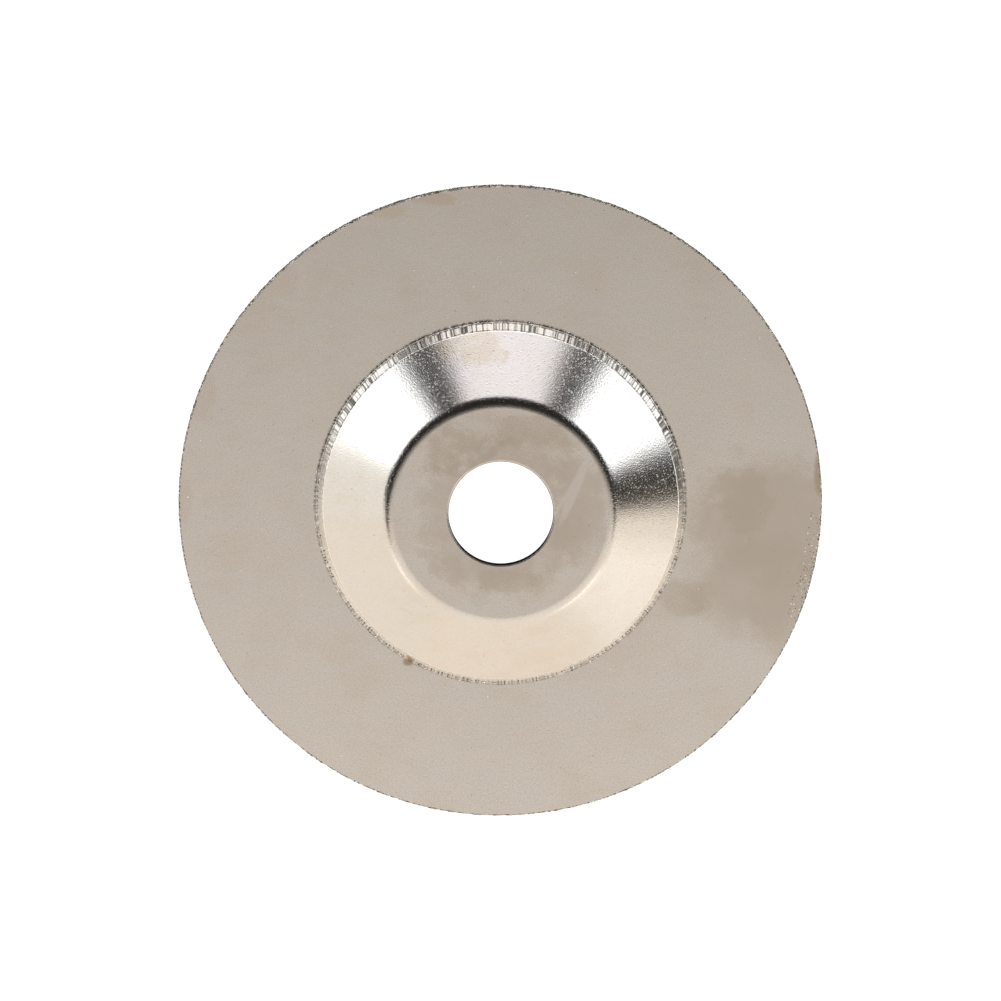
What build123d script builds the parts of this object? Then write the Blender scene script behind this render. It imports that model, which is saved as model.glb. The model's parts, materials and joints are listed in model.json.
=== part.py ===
from build123d import *
import math
import os

# Diamond grinding disc for an angle grinder whose spindle collar is 16 mm.
# Millimetres. +Z runs along the spin axis, from the working face to the grinder's side.
# The origin is the centre of the working plane, which the tips of the face grains make.
# A section point is (distance from the spin axis, height).

# Driving dimensions, over the finished nickel
disc_diameter = 100.0  # over the grains on the rim
bore_diameter = 16.2  # clear hole for the 16 mm spindle collar
ring_inner_diameter = 57.1  # foot of the steep drawn wall, where the flat ring ends
hub_flat_diameter = 35.2  # where the lines of the cone and of the flat hub top cross
hub_height = 8.0  # back of the flat ring to back of the hub top
step_height = 2.1  # height of the steep drawn wall
step_run = 0.9  # distance that the steep wall leans inwards over its height

# Layers
sheet_thickness = 1.0  # steel sheet
plating_thickness = 0.10  # nickel on the back, in the bore and under the hub
bond_thickness = 0.20  # nickel that the grains are set in, on the face and the rim
grain_standout = 0.12  # how far the grains stand out of the bond
bare_margin = 1.2  # from the foot of the wall to the coated band on the working face
grain_free_lip = 0.25  # strip of the rim next to the back with no grains on it

# Rounded corners, over the finished nickel
foot_radius = 0.3
shoulder_radius = 0.5
hub_bend_radius = 4.0
bore_roll_radius = 0.3  # where the punch entered, on the back
bore_exit_radius = 0.15
rim_lip_radius = 0.12
tight_corner_radius = 0.15  # the smallest that the underside is drawn to

# Levels and radii that follow
face_bond_z = grain_standout
face_steel_z = face_bond_z + bond_thickness
ring_back_z = face_steel_z + sheet_thickness + plating_thickness
hub_back_z = ring_back_z + hub_height
rim_radius = disc_diameter / 2
bond_radius = rim_radius - grain_standout
steel_radius = bond_radius - bond_thickness
bore_radius = bore_diameter / 2
steel_bore_radius = bore_radius + plating_thickness
band_inner_radius = ring_inner_diameter / 2 + bare_margin

# Depths of the surfaces below the finished back
steel_back = plating_thickness
steel_face = steel_back + sheet_thickness
hub_underside = steel_face + plating_thickness


def back_lines():
    """Straight lines of the finished back: flat ring, steep wall, cone and hub top."""
    foot = ring_inner_diameter / 2
    corners = [
        (rim_radius, ring_back_z),
        (foot, ring_back_z),
        (foot - step_run, ring_back_z + step_height),
        (hub_flat_diameter / 2, hub_back_z),
        (bore_radius, hub_back_z),
    ]
    return list(zip(corners, corners[1:]))


def sunk(line, depth):
    """The line moved into the sheet by depth."""
    (x1, z1), (x2, z2) = line
    length = math.dist(*line)
    dx = (z1 - z2) / length * depth
    dz = (x2 - x1) / length * depth
    return (x1 + dx, z1 + dz), (x2 + dx, z2 + dz)


def crossing(first, second):
    """Point where two lines cross, each given by two of its points."""
    (x1, z1), (x2, z2) = first
    (x3, z3), (x4, z4) = second
    area = (x1 - x2) * (z3 - z4) - (z1 - z2) * (x3 - x4)
    a = x1 * z2 - z1 * x2
    b = x3 * z4 - z3 * x4
    return (a * (x3 - x4) - b * (x1 - x2)) / area, (a * (z3 - z4) - b * (z1 - z2)) / area


def surface(depth):
    """Foot, shoulder and hub corner at that depth, each with the radius of its bend."""
    lines = [sunk(line, depth) for line in back_lines()]
    corners = [crossing(a, b) for a, b in zip(lines, lines[1:])]
    radii = [
        foot_radius + depth,
        max(shoulder_radius - depth, tight_corner_radius),
        max(hub_bend_radius - depth, tight_corner_radius),
    ]
    return list(zip(corners, radii))


def steel_outline(face_radius, back_radius):
    """Corners of the bare steel from face_radius on its face, by the bore, to back_radius on its back."""
    roll = max(bore_roll_radius - plating_thickness, 0.0)
    return [
        ((face_radius, face_steel_z), 0.0),
        *surface(steel_face),
        ((steel_bore_radius, hub_back_z - steel_face), 0.0),
        ((steel_bore_radius, hub_back_z - steel_back), roll),
        *surface(steel_back)[::-1],
        ((back_radius, ring_back_z - steel_back), 0.0),
    ]


def turned(outline):
    """Solid made by turning a closed section, a list of corners with radii, about the spin axis."""
    points = [point for point, _ in outline]
    radii = [radius for _, radius in outline]
    section = make_face(FilletPolyline(*points, radius=radii, close=True))
    return revolve(Plane.XZ * section, axis=Axis.Z)


def flat_ring(inner_radius, outer_radius, low_z, high_z):
    """Ring of rectangular section."""
    corners = [
        (inner_radius, low_z),
        (outer_radius, low_z),
        (outer_radius, high_z),
        (inner_radius, high_z),
    ]
    return turned([(corner, 0.0) for corner in corners])


def steel_blank():
    """Disc pressed and pierced from one sheet."""
    return turned(steel_outline(steel_radius, steel_radius))


def nickel_plating():
    """Film on the back, in the bore and under the hub, as far as the coated band."""
    finished = [
        ((steel_radius, ring_back_z), 0.0),
        *surface(0.0),
        ((bore_radius, hub_back_z), bore_roll_radius),
        ((bore_radius, hub_back_z - hub_underside), bore_exit_radius),
        *surface(hub_underside)[::-1],
        ((band_inner_radius, ring_back_z - hub_underside), 0.0),
    ]
    return turned([*finished, *steel_outline(band_inner_radius, steel_radius)])


def bond_layer():
    """Nickel under the grains: across the working face and up the rim to the back."""
    return turned(
        [
            ((band_inner_radius, face_bond_z), 0.0),
            ((bond_radius, face_bond_z), 0.0),
            ((bond_radius, ring_back_z), rim_lip_radius),
            ((steel_radius, ring_back_z), 0.0),
            ((steel_radius, face_steel_z), 0.0),
            ((band_inner_radius, face_steel_z), 0.0),
        ]
    )


def face_grit():
    """Envelope of the grains that stand out of the bond on the working face."""
    return flat_ring(band_inner_radius, rim_radius, 0.0, face_bond_z)


def edge_grit():
    """Envelope of the grains that stand out of the bond on the rim."""
    return flat_ring(bond_radius, rim_radius, face_bond_z, ring_back_z - grain_free_lip)


PIECES = [steel_blank, nickel_plating, bond_layer, face_grit, edge_grit]

os.makedirs("parts", exist_ok=True)
for piece in PIECES:
    export_step(piece(), f"parts/{piece.__name__}.step")
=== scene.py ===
"""Looks of the diamond grinding disc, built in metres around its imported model.

The disc is one pressed sheet with nickel on it. Its plating, its bond and its grains are modelled here,
and the steel blank inside stays as packed. Sizes in the classes are millimetres, turned into metres by MM.
"""

import json
import logging
import math
import random
from collections.abc import Callable
from dataclasses import dataclass, field
from enum import Enum

import bpy
from mathutils import Matrix, Vector, noise

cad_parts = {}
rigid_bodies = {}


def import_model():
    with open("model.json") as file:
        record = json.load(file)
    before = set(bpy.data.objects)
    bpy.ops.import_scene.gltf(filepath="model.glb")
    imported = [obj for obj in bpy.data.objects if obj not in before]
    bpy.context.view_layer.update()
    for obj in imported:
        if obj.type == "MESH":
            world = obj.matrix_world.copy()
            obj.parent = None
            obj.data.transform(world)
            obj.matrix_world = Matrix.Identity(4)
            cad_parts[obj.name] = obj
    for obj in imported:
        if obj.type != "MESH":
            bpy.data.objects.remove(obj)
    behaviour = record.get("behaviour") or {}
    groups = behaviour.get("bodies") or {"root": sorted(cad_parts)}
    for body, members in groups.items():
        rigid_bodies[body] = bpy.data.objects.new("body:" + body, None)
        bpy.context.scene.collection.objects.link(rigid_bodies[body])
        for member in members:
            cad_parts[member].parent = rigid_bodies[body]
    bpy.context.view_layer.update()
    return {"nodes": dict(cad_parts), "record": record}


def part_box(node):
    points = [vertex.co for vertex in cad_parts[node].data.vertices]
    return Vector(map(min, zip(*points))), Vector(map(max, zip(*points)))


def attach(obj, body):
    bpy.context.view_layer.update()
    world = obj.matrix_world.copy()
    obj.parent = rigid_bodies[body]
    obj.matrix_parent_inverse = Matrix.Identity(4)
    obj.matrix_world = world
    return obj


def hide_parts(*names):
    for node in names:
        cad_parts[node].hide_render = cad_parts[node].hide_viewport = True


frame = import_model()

log = logging.getLogger("grinding_disc")
MM = 0.001
TURN = 2 * math.pi
WELD = 0.004  # millimetres within which points of a shell are merged
FAINTEST = 0.001  # weight below which a point stays out of a group
MIX_SHARE, MIX_FIRST, MIX_SECOND, MIX_RESULT = 0, 6, 7, 2  # sockets of a Mix node that mixes colours
RANDOM_SOCKETS = {"FLOAT_VECTOR": (0, 1, 0), "FLOAT": (2, 3, 1), "INT": (4, 5, 2)}  # low, high, result

Point = tuple[float, float]
Light = tuple[float, float, float]
Colour = tuple[float, float, float, float]
Socket = bpy.types.NodeSocket
Value = float | Socket
Tint = Colour | Socket


# ---------------------------------------------------------------- sections


@dataclass(frozen=True)
class Corner:
    """One corner of a turned section: distance from the axis, height, fillet and how it is divided."""

    r: float
    z: float
    fillet: float = 0.0
    arc_steps: int = 4


def sunk(line: tuple[Point, Point], depth: float) -> tuple[Point, Point]:
    """Move a section line into the sheet.

    Args:
        line: two points of the finished surface, from the rim towards the axis.
        depth: how far below the finished surface.

    Returns:
        The moved line.
    """
    (r1, z1), (r2, z2) = line
    length = math.dist(*line)
    dr = (z1 - z2) / length * depth
    dz = (r2 - r1) / length * depth
    return (r1 + dr, z1 + dz), (r2 + dr, z2 + dz)


def crossing(first: tuple[Point, Point], second: tuple[Point, Point]) -> Point:
    """Find where two section lines cross.

    Args:
        first: two points of one line.
        second: two points of the other.

    Returns:
        The point that both lines pass through.
    """
    (x1, y1), (x2, y2) = first
    (x3, y3), (x4, y4) = second
    area = (x1 - x2) * (y3 - y4) - (y1 - y2) * (x3 - x4)
    a = x1 * y2 - y1 * x2
    b = x3 * y4 - y3 * x4
    return (a * (x3 - x4) - b * (x1 - x2)) / area, (a * (y3 - y4) - b * (y1 - y2)) / area


def filleted(corners: list[Corner]) -> list[Point]:
    """Turn a closed list of corners into points, with each fillet as a true arc.

    Args:
        corners: the section's corners in order, the last joined to the first.

    Returns:
        Points of the closed section, without the first repeated.
    """
    points: list[Point] = []
    for index, corner in enumerate(corners):
        before = Vector((corners[index - 1].r, corners[index - 1].z))
        after = Vector((corners[(index + 1) % len(corners)].r, corners[(index + 1) % len(corners)].z))
        here = Vector((corner.r, corner.z))
        to_before = (before - here).normalized()
        to_after = (after - here).normalized()
        if corner.fillet <= 0:
            points.append((corner.r, corner.z))
            continue
        half = to_before.angle(to_after) / 2
        start = here + to_before * (corner.fillet / math.tan(half))
        middle = here + (to_before + to_after).normalized() * (corner.fillet / math.sin(half))
        arm = start - middle
        sweep = math.pi - 2 * half
        turn = sweep if to_before.cross(to_after) < 0 else -sweep
        for step in range(corner.arc_steps + 1):
            angle = turn * step / corner.arc_steps
            c, s = math.cos(angle), math.sin(angle)
            points.append((middle.x + arm.x * c - arm.y * s, middle.y + arm.x * s + arm.y * c))
    return points


def divided(points: list[Point], longest: float) -> list[Point]:
    """Divide the long runs of a closed section.

    Args:
        points: points of the section.
        longest: longest run that is left.

    Returns:
        The points with more between them.
    """
    result: list[Point] = []
    for (r1, z1), (r2, z2) in zip(points, points[1:] + points[:1]):
        steps = max(1, math.ceil(math.dist((r1, z1), (r2, z2)) / longest))
        result += [(r1 + (r2 - r1) * k / steps, z1 + (z2 - z1) * k / steps) for k in range(steps)]
    return result


@dataclass(frozen=True)
class DiscSizes:
    """Sizes of the finished disc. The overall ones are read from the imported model."""

    rim_radius: float
    working_height: float
    bore_radius: float
    ring_inner_radius: float = 28.55
    hub_flat_radius: float = 17.6
    hub_height: float = 8.0
    step_height: float = 2.1
    step_run: float = 0.9
    sheet: float = 1.0
    plating: float = 0.10
    bond: float = 0.20
    standout: float = 0.12
    bare_margin: float = 1.2
    grain_free_lip: float = 0.25
    foot_fillet: float = 0.3
    shoulder_fillet: float = 0.5
    bend_fillet: float = 4.0
    bore_roll: float = 0.3
    bore_exit: float = 0.15
    lip_fillet: float = 0.12
    tight_corner: float = 0.15

    @property
    def ring_back(self) -> float:
        """Height of the flat ring's back."""
        return self.working_height - self.hub_height

    @property
    def bond_radius(self) -> float:
        """Radius of the bond on the rim."""
        return self.rim_radius - self.standout

    @property
    def steel_radius(self) -> float:
        """Radius of the steel blank."""
        return self.bond_radius - self.bond

    @property
    def steel_face(self) -> float:
        """Depth of the steel's face below the finished back."""
        return self.plating + self.sheet

    @property
    def underside(self) -> float:
        """Depth of the plated underside below the finished back."""
        return self.steel_face + self.plating

    @property
    def band_inner_radius(self) -> float:
        """Inner radius of the coated band."""
        return self.ring_inner_radius + self.bare_margin

    def near_wall(self, at: Vector) -> tuple[float, float, float]:
        """Place a point against the steep wall.

        Args:
            at: the point, in millimetres.

        Returns:
            Its height over the ring's back, its radius, and its distance off the wall.
        """
        up = at.z - self.ring_back
        out = math.hypot(at.x, at.y)
        wall = self.ring_inner_radius - self.step_run * up / self.step_height
        return up, out, abs(out - wall)

    def form(self, depth: float, finely: bool) -> list[Corner]:
        """Foot, shoulder and hub bend of the surface at a depth.

        Args:
            depth: how far below the finished back.
            finely: whether the surface is seen, and so closely divided.

        Returns:
            The three corners, from the ring towards the axis.
        """
        foot = self.ring_inner_radius
        ends = [
            (self.rim_radius, self.ring_back),
            (foot, self.ring_back),
            (foot - self.step_run, self.ring_back + self.step_height),
            (self.hub_flat_radius, self.working_height),
            (self.bore_radius, self.working_height),
        ]
        lines = [sunk(line, depth) for line in zip(ends, ends[1:])]
        fillets = [
            self.foot_fillet + depth,
            max(self.shoulder_fillet - depth, self.tight_corner),
            max(self.bend_fillet - depth, self.tight_corner),
        ]
        steps = (5, 7, 14) if finely else (2, 2, 4)
        points = [crossing(a, b) for a, b in zip(lines, lines[1:])]
        return [Corner(r, z, f, n) for (r, z), f, n in zip(points, fillets, steps)]


# ---------------------------------------------------------------- mesh work


def deselect() -> None:
    """Leave nothing selected."""
    bpy.ops.object.select_all(action="DESELECT")


def activate(obj: bpy.types.Object) -> None:
    """Make one object the only one selected, and the active one.

    Args:
        obj: the object.
    """
    deselect()
    obj.select_set(True)
    bpy.context.view_layer.objects.active = obj


def select_faces(obj: bpy.types.Object, wanted: Callable[[Vector], bool]) -> None:
    """Select the faces whose centres pass a test.

    Args:
        obj: the mesh object.
        wanted: function of a face's centre, in metres.
    """
    activate(obj)
    bpy.ops.object.mode_set(mode="EDIT")
    bpy.ops.mesh.select_mode(type="FACE")
    bpy.ops.mesh.select_all(action="DESELECT")
    bpy.ops.object.mode_set(mode="OBJECT")
    for face in obj.data.polygons:
        face.select = wanted(face.center)


def turned(name: str, outline: list[Point], segments: int, closed: bool = True) -> bpy.types.Object:
    """Build a shell round the spin axis by extruding a circle from ring to ring.

    Args:
        name: name of the piece.
        outline: points of the section, in millimetres.
        segments: divisions of the circle.
        closed: whether the last ring is joined to the first.

    Returns:
        The shell, with its normals outwards.
    """
    deselect()
    r, z = outline[0]
    bpy.ops.mesh.primitive_circle_add(vertices=segments, radius=r * MM)
    shell = bpy.context.object
    shell.name = shell.data.name = name
    bpy.ops.object.mode_set(mode="EDIT")
    bpy.ops.mesh.select_mode(type="VERT")
    bpy.ops.mesh.select_all(action="SELECT")
    bpy.ops.transform.translate(value=(0, 0, z * MM))
    for there_r, there_z in outline[1:] + (outline[:1] if closed else []):
        bpy.ops.mesh.extrude_edges_move()
        grow = there_r / r
        bpy.ops.transform.resize(value=(grow, grow, 1), center_override=(0, 0, 0))
        bpy.ops.transform.translate(value=(0, 0, (there_z - z) * MM))
        r, z = there_r, there_z
    bpy.ops.mesh.select_all(action="SELECT")
    bpy.ops.mesh.remove_doubles(threshold=WELD * MM)
    bpy.ops.mesh.normals_make_consistent(inside=False)
    bpy.ops.object.mode_set(mode="OBJECT")
    return shell


def weigh(shell: bpy.types.Object, name: str, weight: Callable[[Vector], float]) -> None:
    """Give a shell a vertex group.

    Args:
        shell: the mesh object.
        name: name of the group.
        weight: function of a vertex's place in millimetres that returns its weight.
    """
    group = shell.vertex_groups.new(name=name)
    for vertex in shell.data.vertices:
        value = weight(vertex.co / MM)
        if value > FAINTEST:
            group.add([vertex.index], min(value, 1.0), "REPLACE")


def paint(shell: bpy.types.Object, name: str, amount: Callable[[Vector], float]) -> None:
    """Store a number at each vertex for the finish to read.

    Args:
        shell: the mesh object.
        name: name of the attribute.
        amount: function of a vertex's place in millimetres that returns the number.
    """
    layer = shell.data.attributes.new(name, "FLOAT", "POINT")
    layer.data.foreach_set("value", [amount(vertex.co / MM) for vertex in shell.data.vertices])


def streak(at: Vector, radius: float, width: float, lane: float) -> float:
    """Noise from -1 to 1 that changes only round the axis.

    Args:
        at: a place, in millimetres.
        radius: radius at which width holds.
        width: size of one feature, in millimetres.
        lane: picks one of many such patterns.

    Returns:
        The noise at that bearing.
    """
    out = math.hypot(at.x, at.y)
    scale = radius / out / width
    return noise.noise(Vector((at.x * scale, at.y * scale, lane)))


def displace(
    shell: bpy.types.Object, group: str, depth: float, grain: float, stretch: float = 1.0
) -> None:
    """Push a group of vertices in and out by a cloud pattern, and apply it.

    Args:
        shell: the mesh object.
        group: the vertices that move.
        depth: whole travel, in millimetres.
        grain: size of the pattern, in millimetres.
        stretch: how many times longer the pattern is along the spin axis.
    """
    ruler = bpy.data.objects.new("pattern_ruler", None)
    bpy.context.scene.collection.objects.link(ruler)
    ruler.scale = (grain * MM, grain * MM, grain * MM * stretch)
    bpy.context.view_layer.update()
    clouds = bpy.data.textures.new("pattern", type="CLOUDS")
    clouds.noise_scale = 1.0
    clouds.noise_depth = 2
    activate(shell)
    push = shell.modifiers.new("push", "DISPLACE")
    push.texture = clouds
    push.texture_coords = "OBJECT"
    push.texture_coords_object = ruler
    push.vertex_group = group
    push.strength = depth * MM
    push.mid_level = 0.5
    bpy.ops.object.modifier_apply(modifier=push.name)
    bpy.data.objects.remove(ruler)


def press(shell: bpy.types.Object, group: str, depth: float) -> None:
    """Sink a group of vertices along their normals, and apply it.

    Args:
        shell: the mesh object.
        group: the vertices that move.
        depth: how far they sink, in millimetres. A negative depth raises them.
    """
    activate(shell)
    push = shell.modifiers.new("press", "DISPLACE")
    push.vertex_group = group
    push.strength = -depth * MM
    push.mid_level = 0.0
    bpy.ops.object.modifier_apply(modifier=push.name)


def smooth(shell: bpy.types.Object, degrees: float) -> None:
    """Shade a shell smooth except over sharper edges."""
    activate(shell)
    bpy.ops.object.shade_smooth_by_angle(angle=math.radians(degrees))


def ramp_up(value: float, low: float, high: float) -> float:
    """Smooth step from 0 at low to 1 at high."""
    share = min(max((value - low) / (high - low), 0.0), 1.0)
    return share * share * (3 - 2 * share)


def bell(value: float, centre: float, half_width: float) -> float:
    """Smooth hump of height 1 about a centre."""
    return 1 - ramp_up(abs(value - centre), 0, half_width)


# ---------------------------------------------------------------- nodes


class Wiring:
    """Short ways to add and join nodes of one tree."""

    def __init__(self, tree: bpy.types.NodeTree) -> None:
        """Start on an emptied tree."""
        self.tree = tree
        tree.nodes.clear()

    def node(self, kind: str, **settings: object) -> bpy.types.Node:
        """Add a node.

        Args:
            kind: the node's type.
            settings: properties to set on it.

        Returns:
            The node.
        """
        made = self.tree.nodes.new(kind)
        for key, value in settings.items():
            setattr(made, key, value)
        return made

    def feed(self, socket: Socket, value: Value | Tint) -> None:
        """Join a socket to another, or set its own value.

        Args:
            socket: the input.
            value: what it is given.
        """
        if isinstance(value, bpy.types.NodeSocket):
            self.tree.links.new(value, socket)
        else:
            socket.default_value = value

    def math(self, operation: str, *values: Value) -> Socket:
        """Add a Math node.

        Args:
            operation: what it works out.
            values: one to three numbers or sockets.

        Returns:
            The result.
        """
        made = self.node("ShaderNodeMath", operation=operation)
        for socket, value in zip(made.inputs, values):
            self.feed(socket, value)
        return made.outputs[0]

    def step(
        self, value: Value, low: float, high: float, to_low: float = 0.0, to_high: float = 1.0
    ) -> Socket:
        """Add a smooth step.

        Args:
            value: what is stepped.
            low: where the step starts. It may be above high, for a step the other way.
            high: where the step ends.
            to_low: the result at low.
            to_high: the result at high.

        Returns:
            The result.
        """
        falling = low > high
        made = self.node("ShaderNodeMapRange", interpolation_type="SMOOTHSTEP")
        self.feed(made.inputs["Value"], value)
        made.inputs["From Min"].default_value = min(low, high)
        made.inputs["From Max"].default_value = max(low, high)
        made.inputs["To Min"].default_value = to_high if falling else to_low
        made.inputs["To Max"].default_value = to_low if falling else to_high
        return made.outputs["Result"]

    def window(self, value: Value, low: float, high: float, soft: float) -> Socket:
        """Add a window that is 1 between two values.

        Args:
            value: what is tested.
            low: middle of the lower end.
            high: middle of the upper end.
            soft: half the width of each end.

        Returns:
            The result.
        """
        rise = self.step(value, low - soft, low + soft)
        fall = self.step(value, high + soft, high - soft)
        return self.math("MULTIPLY", rise, fall)

    def noise(self, place: Socket, size: float, detail: float = 3.0, roughness: float = 0.5) -> Socket:
        """Add a noise pattern.

        Args:
            place: the point that it is read at.
            size: size of its features, in millimetres.
            detail: how many finer layers it has.
            roughness: how strong the finer layers are.

        Returns:
            The noise, from 0 to 1.
        """
        made = self.node("ShaderNodeTexNoise")
        self.feed(made.inputs["Vector"], place)
        made.inputs["Scale"].default_value = 1 / (size * MM)
        made.inputs["Detail"].default_value = detail
        made.inputs["Roughness"].default_value = roughness
        return made.outputs["Fac"]

    def mix(self, share: Value, first: Tint, second: Tint) -> Socket:
        """Mix two colours.

        Args:
            share: share of the second colour.
            first: one colour.
            second: the other.

        Returns:
            The mixed colour.
        """
        made = self.node("ShaderNodeMix", data_type="RGBA")
        self.feed(made.inputs[MIX_SHARE], share)
        self.feed(made.inputs[MIX_FIRST], first)
        self.feed(made.inputs[MIX_SECOND], second)
        return made.outputs[MIX_RESULT]

    def random(self, kind: str, low: float | Light, high: float | Light) -> Socket:
        """Add a random value for each point.

        Args:
            kind: INT, FLOAT or FLOAT_VECTOR.
            low: the lowest value.
            high: the highest value.

        Returns:
            The value.
        """
        made = self.node("FunctionNodeRandomValue", data_type=kind)
        low_socket, high_socket, result = RANDOM_SOCKETS[kind]
        made.inputs[low_socket].default_value = low
        made.inputs[high_socket].default_value = high
        return made.outputs[result]

    def place(self) -> Socket:
        """The point in the disc's own frame."""
        return self.node("ShaderNodeTexCoord").outputs["Object"]

    def squeezed(self, place: Socket, times: float) -> Socket:
        """Stretch a place, so that patterns read at it are longer across the disc.

        Args:
            place: the point.
            times: how many times longer.

        Returns:
            The stretched point.
        """
        made = self.node("ShaderNodeVectorMath", operation="MULTIPLY")
        self.feed(made.inputs[0], place)
        made.inputs[1].default_value = (1 / times, 1, 1)
        return made.outputs[0]

    def bump(self, height: Socket, depth: float, under: Socket | None = None) -> Socket:
        """Add a bump.

        Args:
            height: the pattern.
            depth: its depth, in millimetres.
            under: another bump that it lies on, or None.

        Returns:
            The bumped normal.
        """
        made = self.node("ShaderNodeBump")
        made.inputs["Strength"].default_value = 1.0
        made.inputs["Distance"].default_value = depth * MM
        self.feed(made.inputs["Height"], height)
        if under:
            self.feed(made.inputs["Normal"], under)
        return made.outputs["Normal"]


def new_material(name: str) -> tuple[bpy.types.Material, Wiring]:
    """Add a material.

    Args:
        name: its name.

    Returns:
        The material, and its emptied tree.
    """
    material = bpy.data.materials.new(name)
    material.use_nodes = True
    return material, Wiring(material.node_tree)


def surface(
    wires: Wiring, metallic: float, colour: Tint, roughness: Value, normal: Socket | None
) -> bpy.types.Node:
    """Add the shader and the output.

    Args:
        wires: the material's tree.
        metallic: 1 for a metal.
        colour: colour or socket.
        roughness: number or socket.
        normal: bumped normal, or None.

    Returns:
        The shader node.
    """
    shader = wires.node("ShaderNodeBsdfPrincipled")
    shader.inputs["Metallic"].default_value = metallic
    wires.feed(shader.inputs["Base Color"], colour)
    wires.feed(shader.inputs["Roughness"], roughness)
    if normal:
        wires.feed(shader.inputs["Normal"], normal)
    output = wires.node("ShaderNodeOutputMaterial")
    wires.feed(output.inputs["Surface"], shader.outputs[0])
    return shader


@dataclass(frozen=True)
class Stain:
    """A mark on the plating: place and size in millimetres, strength, raggedness, and lean in degrees."""

    x: float
    y: float
    wide: float
    high: float
    strength: float
    ragged: float = 0.5
    lean: float = 0.0


class Tarnish(Enum):
    """Colours that nickel takes on."""

    BROWN = (0.33, 0.24, 0.14, 1)
    YELLOW = (0.56, 0.46, 0.31, 1)
    DULL = (0.50, 0.445, 0.37, 1)
    PALE = (0.70, 0.67, 0.62, 1)


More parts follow.
